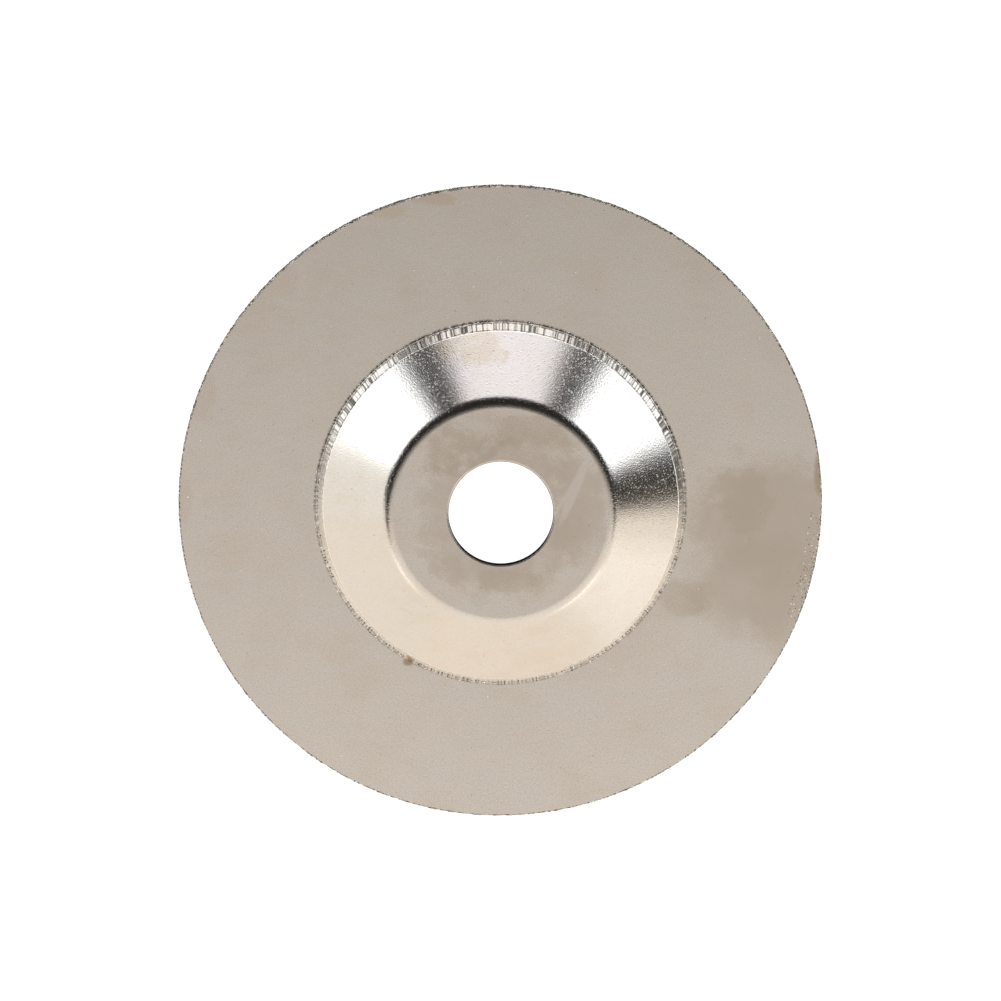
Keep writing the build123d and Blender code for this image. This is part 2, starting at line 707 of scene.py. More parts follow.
@dataclass(frozen=True)
class SatinNickel:
    """Warm satin nickel plate with faint stains, painted shade in its dark places and a painted highlight
    on the steep wall.
    """

    colour: Colour = (0.640, 0.608, 0.548, 1)
    clouded: Colour = (0.618, 0.578, 0.510, 1)
    cool: Colour = (0.632, 0.607, 0.562, 1)
    # Near-white colour of the steep wall's painted highlight, brighter than nickel.
    wall_highlight: Colour = (0.95, 0.935, 0.905, 1)
    # Near-black colour of painted shade in the bore, the notches and the wall's foot and shoulder, and of
    # dirt and painted shade in the draw marks.
    shade_and_dirt: Colour = (0.024, 0.020, 0.016, 1)
    blotch: float = 9.0
    ragged: float = 4.0
    roll: float = 2.2
    roll_stretch: float = 3.5
    roll_share: float = 0.60
    freckle: float = 0.7
    freckle_share: float = 0.40
    fine: float = 0.35
    fine_share: float = 0.16
    roughness: float = 0.17
    flat_roughness: float = 0.095
    edge_share: float = 0.14
    peel: float = 1.1
    peel_depth: float = 0.0016
    flat_share: float = 0.05
    grain_depth: float = 0.020
    grain: float = 0.22
    pit: float = 0.30
    pit_share: float = 0.38
    marks: dict[Tarnish, list[Stain]] = field(
        default_factory=lambda: {
            Tarnish.DULL: [
                Stain(42, -3, 12, 10, 0.60, 0.25),
                Stain(40, -13, 11, 8, 0.50, 0.25),
                Stain(46, -18, 8, 7, 0.35, 0.25),
                Stain(0, 0, 12.5, 12.5, 0.50, 0.45),
                Stain(0, 11, 13, 5, 0.25, 0.6),
                Stain(12, 1, 4.5, 9, 0.50, 0.6),
                Stain(-1, -9, 9, 3, 0.25, 0.5),
            ],
            Tarnish.PALE: [
                Stain(11.3, 3.6, 5.5, 0.8, 0.55, 0.25, 68),
                Stain(9.0, 1.0, 4.0, 0.4, 0.40, 0.25, 62),
                Stain(-12.5, -5.0, 2.4, 0.2, 0.50, 0.10, -18),
                Stain(-13.5, -7.2, 1.8, 0.2, 0.40, 0.10, -10),
            ],
            Tarnish.BROWN: [
                Stain(49.6, 4.5, 1.0, 3.5, 0.55, 0.2),
                Stain(29, -15, 4.5, 3.0, 0.20, 0.4),
                Stain(37, 1, 4.5, 6, 0.14, 0.9),
                Stain(-14.3, -25.2, 0.9, 0.7, 0.75, 0.3),
                Stain(-7, 10, 6, 4, 0.20, 0.9),
                Stain(4, 13, 6, 2.5, 0.16, 0.9),
                Stain(3, -11, 7, 2, 0.12, 0.9),
            ],
            Tarnish.YELLOW: [
                Stain(-10, 47.8, 3.5, 1.0, 0.45, 0.4),
                Stain(-4, 25.3, 5, 2.4, 0.50, 0.9),
                Stain(-17, 46, 3, 1.2, 0.30, 0.4),
                Stain(-34, 35, 3, 3, 0.15, 0.4),
                Stain(-46, 17, 2, 4, 0.18, 0.4),
                Stain(-49, 0, 1.2, 4, 0.18, 0.4),
            ],
        }
    )

    def stain(self, wires: Wiring, x: Socket, y: Socket, warp: Socket, mark: Stain) -> Socket:
        """Share of one mark at a point.

        Args:
            wires: the material's tree.
            x: place across the disc, in millimetres.
            y: place up the disc, in millimetres.
            warp: noise that makes the edge ragged.
            mark: the mark.

        Returns:
            Socket from 0 outside the mark to its strength inside.
        """
        c, s = math.cos(math.radians(mark.lean)), math.sin(math.radians(mark.lean))
        dx = wires.math("SUBTRACT", x, mark.x)
        dy = wires.math("SUBTRACT", y, mark.y)
        across = wires.math("MULTIPLY_ADD", dx, c / mark.wide, wires.math("MULTIPLY", dy, s / mark.wide))
        up = wires.math("MULTIPLY_ADD", dy, c / mark.high, wires.math("MULTIPLY", dx, -s / mark.high))
        far = wires.math("ADD", wires.math("MULTIPLY", across, across), wires.math("MULTIPLY", up, up))
        ragged = wires.math("MULTIPLY_ADD", wires.math("SUBTRACT", warp, 0.5), 6 * mark.ragged, far)
        body = wires.step(ragged, 1.45, 0.35, 0.0, mark.strength)
        edge = wires.window(ragged, 1.02, 1.08, 0.10)
        return wires.math("MULTIPLY_ADD", edge, self.edge_share * mark.strength, body)

    def make(self) -> bpy.types.Material:
        """Build the material.

        Returns:
            The material.
        """
        material, wires = new_material("satin_nickel")
        place = wires.place()
        split = wires.node("ShaderNodeSeparateXYZ")
        wires.feed(split.inputs[0], place)
        x = wires.math("DIVIDE", split.outputs[0], MM)
        y = wires.math("DIVIDE", split.outputs[1], MM)
        blotch = wires.noise(place, self.blotch, 5.0, 0.6)
        fine = wires.noise(place, self.fine, 3.0, 0.6)
        warp = wires.noise(place, self.ragged, 6.0, 0.65)
        colour = wires.mix(wires.step(blotch, 0.40, 0.66), self.colour, self.clouded)
        rolled = wires.noise(wires.squeezed(place, self.roll_stretch), self.roll, 4.0, 0.6)
        colour = wires.mix(wires.step(rolled, 0.42, 0.62, 0.0, self.roll_share), colour, self.cool)
        dulled: Value = 0.0
        for tarnish, marks in self.marks.items():
            for mark in marks:
                share = self.stain(wires, x, y, warp, mark)
                colour = wires.mix(share, colour, tarnish.value)
                dulled = wires.math("MAXIMUM", share, dulled)
        freckle = wires.noise(place, self.freckle, 2.0)
        freckle = wires.step(freckle, 0.72, 0.78, 0.0, self.freckle_share)
        colour = wires.mix(freckle, colour, Tarnish.BROWN.value)
        colour = wires.mix(wires.step(fine, 0.40, 0.75, 0.0, self.fine_share), colour, Tarnish.DULL.value)
        # Painted highlight: the steep wall is painted near white; its roughness is lowered too.
        polish = wires.node("ShaderNodeAttribute", attribute_name="polish").outputs["Fac"]
        colour = wires.mix(polish, colour, self.wall_highlight)
        # Painted shade, partly dirt: near black in the bore, the notches, the wall's foot and shoulder and
        # its draw marks.
        shade_and_dirt_share = wires.node("ShaderNodeAttribute", attribute_name="grime").outputs["Fac"]
        colour = wires.mix(shade_and_dirt_share, colour, self.shade_and_dirt)
        rough = wires.math("MULTIPLY_ADD", fine, 0.08, self.roughness - 0.04)
        rough = wires.math("MULTIPLY_ADD", dulled, 0.05, rough)
        rough = wires.math("MULTIPLY_ADD", polish, -0.09, rough)
        rough = wires.math("MULTIPLY_ADD", shade_and_dirt_share, 0.35, rough)
        formed = wires.node("ShaderNodeAttribute", attribute_name="formed").outputs["Fac"]
        rough = wires.math("MULTIPLY_ADD", wires.math("SUBTRACT", 1.0, formed), self.flat_roughness, rough)
        peel = wires.bump(wires.noise(place, self.peel, 2.0, 0.5), self.peel_depth)
        share = wires.math("MULTIPLY_ADD", formed, 1 - self.flat_share, self.flat_share)
        pits = wires.step(wires.noise(place, self.pit, 1.0, 0.5), 0.60, 0.74, 0.0, self.pit_share)
        skin = wires.math("MULTIPLY_ADD", wires.noise(place, self.grain, 1.0, 0.5), 0.6, pits)
        skin = wires.math("MULTIPLY", skin, share)
        pitted = wires.bump(skin, self.grain_depth, peel)
        surface(wires, 1.0, colour, rough, pitted)
        return material


@dataclass(frozen=True)
class BondNickel:
    """Matte deposit that the grains are set in, painted dark in the hollows between its beads as painted
    shade.
    """

    light: Colour = (0.66, 0.62, 0.55, 1)
    dark: Colour = (0.13, 0.12, 0.10, 1)
    bead: float = 0.32
    bead_depth: float = 0.05

    def make(self) -> bpy.types.Material:
        """Build the material.

        Returns:
            The material.
        """
        material, wires = new_material("bond_nickel")
        place = wires.place()
        beads = wires.noise(place, self.bead, 3.0, 0.6)
        # Painted shade: the hollows between the beads are painted dark, their tops light.
        colour = wires.mix(wires.step(beads, 0.42, 0.54), self.dark, self.light)
        rough = wires.math("MULTIPLY_ADD", beads, 0.2, 0.32)
        surface(wires, 1.0, colour, rough, wires.bump(beads, self.bead_depth))
        return material


@dataclass(frozen=True)
class BeadNickel:
    """Bright nickel over stray grains and over the beads that the bath left in the corner, painted in
    spots of near white as painted glints and of dark as painted shade.
    """

    light: Colour = (0.94, 0.92, 0.88, 1)
    dark: Colour = (0.22, 0.19, 0.15, 1)
    bead: float = 0.45
    roughness: float = 0.14

    def make(self) -> bpy.types.Material:
        """Build the material.

        Returns:
            The material.
        """
        material, wires = new_material("bead_nickel")
        glint_and_shade_spots = wires.noise(wires.place(), self.bead, 1.0)
        # Painted glints and painted shade: spots of near white and of dark.
        colour = wires.mix(wires.step(glint_and_shade_spots, 0.42, 0.58), self.dark, self.light)
        surface(wires, 1.0, colour, self.roughness, None)
        return material


@dataclass(frozen=True)
class DiamondGrain:
    """Pale yellow-green synthetic diamond, with each grain a little different."""

    pale: Colour = (0.74, 0.72, 0.58, 1)
    deep: Colour = (0.50, 0.50, 0.25, 1)
    smoky: Colour = (0.20, 0.20, 0.15, 1)
    grain: float = 0.34
    ior: float = 2.0

    def make(self) -> bpy.types.Material:
        """Build the material.

        Returns:
            The material.
        """
        material, wires = new_material("diamond_grain")
        place = wires.place()
        cells = wires.node("ShaderNodeTexVoronoi")
        wires.feed(cells.inputs["Vector"], place)
        cells.inputs["Scale"].default_value = 1 / (self.grain * MM)
        parts = wires.node("ShaderNodeSeparateColor")
        wires.feed(parts.inputs[0], cells.outputs["Color"])
        colour = wires.mix(parts.outputs[0], self.pale, self.deep)
        colour = wires.mix(wires.step(parts.outputs[1], 0.80, 0.90), colour, self.smoky)
        rough = wires.math("MULTIPLY_ADD", parts.outputs[2], 0.20, 0.10)
        shader = surface(wires, 0.0, colour, rough, None)
        shader.inputs["IOR"].default_value = self.ior
        return material


@dataclass(frozen=True)
class SheetSteel:
    """Cold-rolled steel of the blank, seen only where nothing covers it."""

    colour: Colour = (0.42, 0.41, 0.40, 1)
    shade: Colour = (0.34, 0.33, 0.32, 1)
    roll_mark: float = 0.3
    roll_depth: float = 0.004

    def make(self) -> bpy.types.Material:
        """Build the material.

        Returns:
            The material.
        """
        material, wires = new_material("pressed_steel")
        place = wires.place()
        lines = wires.noise(place, self.roll_mark, 4.0)
        colour = wires.mix(lines, self.colour, self.shade)
        rough = wires.math("MULTIPLY_ADD", lines, 0.15, 0.30)
        surface(wires, 1.0, colour, rough, wires.bump(lines, self.roll_depth))
        return material


# ---------------------------------------------------------------- sub-assemblies


@dataclass(frozen=True)
class ShadeAndDirt:
    """Where the plating is painted dark: painted shade in the bore and along the wall's foot and shoulder,
    and dirt and painted shade in the wall's draw marks. Each pair of values is what it fades in between.
    """

    sizes: DiscSizes
    bore_reach: float = 0.16
    bore_wall: Point = (0.20, 0.28)
    bore_roll: Point = (0.01, 0.05)
    roll_side: Point = (0.0, -6.0)
    below_ring: float = 0.05
    over_shoulder: float = 0.3
    off_wall: float = 0.75
    lower_share: float = 0.40
    upper_side: Point = (-8, 10)
    mark_width: float = 0.20
    mark_lane: float = 3.0
    mark_edge: Point = (0.06, 0.30)
    mark_side: Point = (2, 16)
    mark_foot: Point = (0.08, 0.3)
    mark_head: Point = (0.05, -0.1)
    mark_weight: float = 0.85
    dot_width: float = 0.34
    dot_lane: float = 9.0
    dot_edge: Point = (-0.15, 0.15)
    gap_share: float = 0.20
    foot_place: float = 0.18
    foot_half: float = 0.30
    foot_top: float = 0.2
    foot_weight: float = 0.95
    shoulder_place: float = 0.06
    shoulder_half: float = 0.17
    shoulder_weight: float = 0.7

    def bore_shade(self, at: Vector, up: float) -> float:
        """Find the painted shade of the bore: on its wall, and on its rolled edge on the lower side.

        Args:
            at: a place in the bore or on its rolled edge, in millimetres.
            up: its height over the ring's back.

        Returns:
            0 for no shade to 1 for black.
        """
        # Painted shade: the bore's wall, and its rolled edge on the lower side only.
        top = self.sizes.hub_height
        wall = ramp_up(up, top - self.bore_wall[0], top - self.bore_wall[1])
        roll = ramp_up(up, top - self.bore_roll[0], top - self.bore_roll[1])
        return max(wall, roll * ramp_up(at.y, *self.roll_side))

    def on_wall(self, at: Vector, up: float, out: float) -> float:
        """Find how dark the steep wall is painted: dirt and painted shade in its draw marks, painted shade
        along its foot and shoulder, more on the upper side.

        Args:
            at: a place on or near the wall, in millimetres.
            up: its height over the ring's back.
            out: its distance from the spin axis.

        Returns:
            0 for none to 1 for black.
        """
        s = self.sizes
        # Painted shade: the wall is painted darker on the upper side, and its draw marks only there.
        upper = self.lower_share + (1 - self.lower_share) * ramp_up(at.y, *self.upper_side)
        marks = ramp_up(streak(at, s.ring_inner_radius, self.mark_width, self.mark_lane), *self.mark_edge)
        marks *= ramp_up(at.y, *self.mark_side)
        head = ramp_up(up, s.step_height + self.mark_head[0], s.step_height + self.mark_head[1])
        marks *= ramp_up(up, *self.mark_foot) * head
        dots = ramp_up(streak(at, s.ring_inner_radius, self.dot_width, self.dot_lane), *self.dot_edge)
        dots = self.gap_share + (1 - self.gap_share) * dots
        # Painted shade in the crease at the wall's foot and along its shoulder, broken into dots.
        foot = 0.0
        if up < self.foot_top:
            foot = bell(out, s.ring_inner_radius + self.foot_place, self.foot_half) * dots
        shoulder = bell(up, s.step_height - self.shoulder_place, self.shoulder_half) * dots
        dark = marks * self.mark_weight + foot * self.foot_weight + shoulder * self.shoulder_weight
        return min(upper * dark, 1.0)

    def amount(self, at: Vector) -> float:
        """Find how dark the plating is painted, with painted shade and dirt.

        Args:
            at: a place on the plating, in millimetres.

        Returns:
            0 for none to 1 for black.
        """
        s = self.sizes
        up, out, aside = s.near_wall(at)
        if up > s.step_height + 1 and out < s.bore_radius + self.bore_reach:
            return self.bore_shade(at, up)
        if up < -self.below_ring or up > s.step_height + self.over_shoulder or aside > self.off_wall:
            return 0.0
        return self.on_wall(at, up, out)


@dataclass
class Plating:
    """Nickel film: on the back and in the bore, and under the hub."""

    sizes: DiscSizes
    finish: bpy.types.Material
    back_segments: int = 1040
    underside_segments: int = 480
    underside_run: float = 2.5
    wall_ring: float = 0.3
    long_ring: float = 5.5
    guards: tuple[float, ...] = (0.04, 0.14, 0.34)
    shortest_guarded: float = 0.4
    crease: float = 50.0
    mark_height: float = 0.06
    mark_width: float = 0.26
    mark_foot: Point = (0.1, 0.35)
    wall_slack: float = 0.06
    formed_foot: Point = (0.0, 0.3)
    formed_head: Point = (0.01, -0.12)
    polish_foot: Point = (0.05, 0.2)
    polish_head: float = 0.12
    polish_slack: float = 0.2
    notch_count: int = 14
    notch_bearing: Point = (0.10, 0.90)
    notch_half: Point = (0.011, 0.016)
    notch_share: Point = (0.85, 1.0)
    notch_depth: float = 0.12
    nick_bearing: Point = (1, 2)
    nick_half: float = 0.006
    nick_share: float = 0.3
    seed: int = 7
    cut: list[tuple[float, float, float]] = field(init=False)

    def __post_init__(self) -> None:
        """Settle where the notches are."""
        self.cut = self.notches()

    def back_outline(self) -> list[Point]:
        """Draw the section of the film on the back and in the bore.

        Returns:
            Points of the closed section.
        """
        s = self.sizes
        exit_z = s.working_height - s.underside + s.bore_exit
        steel_bore = s.bore_radius + s.plating
        points = filleted(
            [
                Corner(s.steel_radius, s.ring_back),
                *s.form(0.0, True),
                Corner(s.bore_radius, s.working_height, s.bore_roll, 5),
                Corner(s.bore_radius, exit_z),
                Corner(steel_bore, exit_z),
                Corner(steel_bore, s.working_height - s.plating, s.bore_roll - s.plating, 3),
                *s.form(s.plating, False)[::-1],
                Corner(s.steel_radius, s.ring_back - s.plating),
            ]
        )
        last_seen = points.index((s.bore_radius, exit_z))
        return self.with_rings(points[: last_seen + 1]) + points[last_seen + 1 :]

    def with_rings(self, points: list[Point]) -> list[Point]:
        """Divide the seen runs, the steep wall most closely, with rings close to each end of a long one.

        Args:
            points: points of the seen part of the section.

        Returns:
            The points with more between them.
        """
        s = self.sizes
        result: list[Point] = []
        for (r1, z1), (r2, z2) in zip(points, points[1:]):
            length = math.dist((r1, z1), (r2, z2))
            on_wall = s.ring_back < z1 < z2 < s.ring_back + s.step_height
            steps = max(1, math.ceil(length / (self.wall_ring if on_wall else self.long_ring)))
            shares = [k / steps for k in range(steps)]
            if length > self.shortest_guarded:
                gaps = [gap / length for gap in self.guards if gap < length / 3]
                shares += gaps + [1 - gap for gap in gaps]
            result += [(r1 + (r2 - r1) * share, z1 + (z2 - z1) * share) for share in sorted(shares)]
        return [*result, points[-1]]

    def wall_share(self, at: Vector) -> float:
        """Tell the steep wall's seen side from the rest.

        Args:
            at: a place on the plating, in millimetres.

        Returns:
            1 on the wall, fading to 0 at its foot and head.
        """
        head = self.sizes.step_height
        up, _, aside = self.sizes.near_wall(at)
        if aside > self.wall_slack:
            return 0.0
        return ramp_up(up, *self.mark_foot) * ramp_up(up, head, head - self.mark_foot[1])

    def formed(self, at: Vector) -> float:
        """Tell where drawing stretched the sheet and left its skin grainy.

        Args:
            at: a place on the plating, in millimetres.

        Returns:
            1 where it is stretched, 0 on the flats.
        """
        top = self.sizes.hub_height
        up, _, _ = self.sizes.near_wall(at)
        head = ramp_up(up, top + self.formed_head[0], top + self.formed_head[1])
        return ramp_up(up, *self.formed_foot) * head

    def polish(self, at: Vector) -> float:
        """Tell where the die burnished the steep wall, which is also painted near white as a highlight.

        Args:
            at: a place on the plating, in millimetres.

        Returns:
            1 on the steep wall, 0 elsewhere.
        """
        head = self.sizes.step_height
        up, _, aside = self.sizes.near_wall(at)
        if aside > self.polish_slack:
            return 0.0
        return ramp_up(up, *self.polish_foot) * ramp_up(up, head + self.polish_head, head)

    def mark_weight(self, at: Vector) -> float:
        """How far a point of the wall stands out between the draw marks."""
        ridge = 0.5 + 0.9 * streak(at, self.sizes.ring_inner_radius, self.mark_width, 0.0)
        return self.wall_share(at) * min(max(ridge, 0.0), 1.0)

    def notches(self) -> list[tuple[float, float, float]]:
        """Draw the tears that drawing left in the upper wall, and the smaller nicks in the lower.

        Returns:
            Bearing and half width in radians, and share of the full depth, of each.
        """
        draw = random.Random(self.seed)
        made = []
        for _ in range(self.notch_count):
            bearing = draw.uniform(*self.notch_bearing) * math.pi
            made.append((bearing, draw.uniform(*self.notch_half), draw.uniform(*self.notch_share)))
        for _ in range(self.notch_count // 3):
            made.append((draw.uniform(*self.nick_bearing) * math.pi, self.nick_half, self.nick_share))
        return made

    def notch_shade(self, at: Vector) -> float:
        """How dark a notch is painted at a place, as painted shade in its hollow; the same number sets how
        deep it is pressed.
        """
        angle = math.atan2(at.y, at.x) % TURN
        return self.wall_share(at) * max(bell(angle, a, w) * d for a, w, d in self.cut)

    def build_back(self) -> bpy.types.Object:
        """Build the film on the back, with its draw marks.

        Returns:
            The film.
        """
        shell = turned("plating_back", self.back_outline(), self.back_segments)
        shade_and_dirt = ShadeAndDirt(self.sizes)
        # Painted shade, with some dirt in the draw marks: in the bore, on the wall and in the notches.
        paint(shell, "grime", lambda at: max(shade_and_dirt.amount(at), self.notch_shade(at)))
        paint(shell, "formed", self.formed)
        # Where the steep wall gets its painted highlight and a lower roughness.
        paint(shell, "polish", self.polish)
        weigh(shell, "marks", self.mark_weight)
        weigh(shell, "notches", self.notch_shade)
        press(shell, "marks", -self.mark_height)
        press(shell, "notches", self.notch_depth)
        shell.vertex_groups.clear()
        smooth(shell, self.crease)
        return shell

    def build_underside(self) -> bpy.types.Object:
        """Build the film under the hub, as far as the coated band.

        Returns:
            The film.
        """
        s = self.sizes
        exit_z = s.working_height - s.underside
        ring_under = s.ring_back - s.underside
        outline = filleted(
            [
                Corner(s.bore_radius, exit_z + s.bore_exit),
                Corner(s.bore_radius, exit_z, s.bore_exit * 0.98, 4),
                *s.form(s.underside, True)[::-1],
                Corner(s.band_inner_radius, ring_under),
                Corner(s.band_inner_radius, ring_under + s.plating),
                *s.form(s.steel_face, False),
                Corner(s.bore_radius + s.plating, exit_z + s.plating),
                Corner(s.bore_radius + s.plating, exit_z + s.bore_exit),
            ]
        )
        shell = turned("plating_underside", divided(outline, self.underside_run), self.underside_segments)
        smooth(shell, self.crease)
        return shell

    def build(self) -> list[bpy.types.Object]:
        """Build and dress both films.

        Returns:
            The two films.
        """
        made = [self.build_back(), self.build_underside()]
        for piece in made:
            finish_piece(piece, self.finish, "satin_nickel", "nickel_plating")
        return made


@dataclass
class Bond:
    """Thicker nickel that holds the grains, on the face and up the rim."""

    sizes: DiscSizes
    finish: bpy.types.Material
    segments: int = 1800
    long_run: float = 2.0
    face_fillet: float = 0.06
    edge_start: float = 0.02
    edge_wander: float = 0.30
    edge_stretch: float = 2.0
    bead: float = 0.5
    crease: float = 60.0

    def build(self) -> list[bpy.types.Object]:
        """Build and dress the deposit.

        Returns:
            The deposit, alone in a list.
        """
        s = self.sizes
        face = s.standout
        steel_face = face + s.bond
        outline = filleted(
            [
                Corner(s.band_inner_radius, face),
                Corner(s.bond_radius, face, self.face_fillet, 3),
                Corner(s.bond_radius, s.ring_back, s.lip_fillet, 5),
                Corner(s.steel_radius, s.ring_back),
                Corner(s.steel_radius, steel_face),
                Corner(s.band_inner_radius, steel_face),
            ]
        )
        shell = turned("bond_deposit", divided(outline, self.long_run), self.segments)
        start = s.steel_radius + self.edge_start
        weigh(shell, "rim", lambda at: ramp_up(math.hypot(at.x, at.y), start, s.bond_radius))
        displace(shell, "rim", self.edge_wander, self.bead, self.edge_stretch)
        shell.vertex_groups.clear()
        smooth(shell, self.crease)
        finish_piece(shell, self.finish, "bond_nickel", "bond_layer")
        return [shell]


@dataclass(frozen=True)
class Field:
    """One field of grains: its ground as section points, how close, how big, and the arc it covers."""

    name: str
    ground: tuple[Point, ...]
    spacing: float
    grain: float
    seed: int
    slot: str = "satin_nickel"
    stands_for: str = ""
    arc: Point = (0.0, 360.0)
    smallest_share: float = 0.7


@dataclass
class Grit:
    """Every field of grains, each copied from a few cut crystals."""

    sizes: DiscSizes
    diamond: bpy.types.Material
    coated: bpy.types.Material
    grain: float = 0.30
    face_spacing: float = 0.35
    rim_spacing: float = 0.33
    face_sectors: int = 6
    ground_segments: int = 720
    crystal_count: int = 3
    corner_cut: float = 0.4995
    merge: float = 0.02
    wobble: float = 0.06
    crowding: float = 3.0
    lip_drop: float = 0.06
    lip_band: Point = (0.22, 0.10)
    stray_lift: float = 0.02
    foot_band: Point = (0.08, 0.36)
    spark_band: Point = (2.1, 0.4)
    spark_arc: Point = (338, 358)
    stray_margins: Point = (0.95, 1.0)

    def crystal(self, seed: int) -> bpy.types.Object:
        """Cut one crystal out of a cube, one unit across its corners.

        Args:
            seed: number of the crystal, and seed of its small irregularities.

        Returns:
            The crystal.
        """
        deselect()
        bpy.ops.mesh.primitive_cube_add(size=1.0)
        stone = bpy.context.object
        stone.name = f"crystal_{seed}"
        bpy.ops.object.mode_set(mode="EDIT")
        bpy.ops.mesh.select_all(action="SELECT")
        bpy.ops.mesh.bevel(offset=self.corner_cut, affect="VERTICES", offset_type="OFFSET", segments=1)
        bpy.ops.mesh.remove_doubles(threshold=self.merge)
        bpy.ops.transform.vertex_random(offset=self.wobble, seed=seed)
        bpy.ops.mesh.normals_make_consistent(inside=False)
        bpy.ops.object.mode_set(mode="OBJECT")
        reach = max(v.co.length for v in stone.data.vertices)
        stone.data.transform(Matrix.Scale(0.5 / reach, 4))
        bpy.ops.object.shade_flat()
        return stone

    def fields(self) -> list[Field]:
        """List the fields: face, rim, beads at the lip and at the foot of the wall, sparks and strays.

        Returns:
            The fields.
        """
        s = self.sizes
        reach = self.grain / 2
        step = 360 / self.face_sectors
        lip = s.ring_back - self.lip_drop
        back = s.ring_back + self.stray_lift
        face = [
            Field(
                name=f"face_grit_{n + 1}",
                ground=((s.band_inner_radius + reach, reach), (s.rim_radius - reach, reach)),
                spacing=self.face_spacing,
                grain=self.grain,
                seed=20 + n,
                slot="diamond_grit",
                stands_for="face_grit",
                arc=(n * step, (n + 1) * step),
            )
            for n in range(self.face_sectors)
        ]
        rim = Field(
            name="rim_grit",
            ground=(
                (s.rim_radius - reach, s.standout + reach),
                (s.rim_radius - reach, s.ring_back - s.grain_free_lip - reach),
            ),
            spacing=self.rim_spacing,
            grain=self.grain,
            seed=40,
            slot="diamond_grit",
            stands_for="edge_grit",
        )
        lip_beads = Field(
            name="lip_beads",
            ground=((s.rim_radius - self.lip_band[0], lip), (s.rim_radius - self.lip_band[1], lip)),
            spacing=0.42,
            grain=0.20,
            seed=44,
        )
        foot = s.ring_inner_radius
        foot_beads = Field(
            name="foot_beads",
            ground=((foot + self.foot_band[0], back), (foot + self.foot_band[1], back)),
            spacing=0.42,
            grain=0.28,
            seed=41,
        )
        rim_sparks = Field(
            name="rim_sparks",
            ground=((s.rim_radius - self.spark_band[0], back), (s.rim_radius - self.spark_band[1], back)),
            spacing=0.46,
            grain=0.24,
            seed=42,
            arc=self.spark_arc,
        )
        ring_strays = Field(
            name="ring_strays",
            ground=((foot + self.stray_margins[0], back), (s.rim_radius - self.stray_margins[1], back)),
            spacing=3.8,
            grain=0.15,
            seed=43,
        )
        return [*face, rim, lip_beads, foot_beads, rim_sparks, ring_strays]

    def ground(self, plot: Field) -> bpy.types.Object:
        """Build the strip that a field's grains are scattered over.

        Args:
            plot: the field.

        Returns:
            The strip, which has the field's name.
        """
        strip = turned(plot.name, list(plot.ground), self.ground_segments, closed=False)
        low, high = plot.arc
        if high - low >= 360:
            return strip
        select_faces(strip, lambda at: not low <= math.degrees(math.atan2(at.y, at.x)) % 360 < high)
        bpy.ops.object.mode_set(mode="EDIT")
        bpy.ops.mesh.delete(type="FACE")
        bpy.ops.object.mode_set(mode="OBJECT")
        return strip

    def scatter(self, strip: bpy.types.Object, plot: Field, stones: bpy.types.Collection) -> None:
        """Scatter copies of the crystals over a strip, and keep only the copies.

        Args:
            strip: the ground.
            plot: the field's spacing, size and seed.
            stones: collection of the crystals.
        """
        tree = bpy.data.node_groups.new(plot.name, "GeometryNodeTree")
        tree.interface.new_socket("Geometry", in_out="INPUT", socket_type="NodeSocketGeometry")
        tree.interface.new_socket("Geometry", in_out="OUTPUT", socket_type="NodeSocketGeometry")
        wires = Wiring(tree)
        given = wires.node("NodeGroupInput")
        spread = wires.node("GeometryNodeDistributePointsOnFaces", distribute_method="POISSON")
        wires.feed(spread.inputs["Mesh"], given.outputs[0])
        spread.inputs["Distance Min"].default_value = plot.spacing * MM
        spread.inputs["Density Max"].default_value = self.crowding / (plot.spacing * MM) ** 2
        spread.inputs["Seed"].default_value = plot.seed
        source = wires.node("GeometryNodeCollectionInfo")
        source.inputs["Collection"].default_value = stones
        source.inputs["Separate Children"].default_value = True
        source.inputs["Reset Children"].default_value = True
        pick = wires.random("INT", 0, len(stones.objects) - 1)
        turn = wires.random("FLOAT_VECTOR", (0, 0, 0), (TURN, TURN, TURN))
        size = wires.random("FLOAT", plot.grain * MM * plot.smallest_share, plot.grain * MM)
        copies = wires.node("GeometryNodeInstanceOnPoints")
        copies.inputs["Pick Instance"].default_value = True
        wires.feed(copies.inputs["Points"], spread.outputs["Points"])
        wires.feed(copies.inputs["Instance"], source.outputs[0])
        wires.feed(copies.inputs["Instance Index"], pick)
        wires.feed(copies.inputs["Rotation"], turn)
        wires.feed(copies.inputs["Scale"], size)
        real = wires.node("GeometryNodeRealizeInstances")
        wires.feed(real.inputs[0], copies.outputs[0])
        out = wires.node("NodeGroupOutput")
        wires.feed(out.inputs[0], real.outputs[0])
        activate(strip)
        modifier = strip.modifiers.new("scatter", "NODES")
        modifier.node_group = tree
        bpy.ops.object.modifier_apply(modifier=modifier.name)

    def build(self) -> list[bpy.types.Object]:
        """Build and dress every field.

        Returns:
            One piece for each field.
        """
        stones = bpy.data.collections.new("crystals")
        for number in range(self.crystal_count):
            stone = self.crystal(number + 1)
            for home in stone.users_collection:
                home.objects.unlink(stone)
            stones.objects.link(stone)
        made = []
        for plot in self.fields():
            strip = self.ground(plot)
            self.scatter(strip, plot, stones)
            finish = self.coated if plot.slot == "satin_nickel" else self.diamond
            finish_piece(strip, finish, plot.slot, plot.stands_for)
            made.append(strip)
        for stone in list(stones.objects):
            bpy.data.objects.remove(stone)
        return made


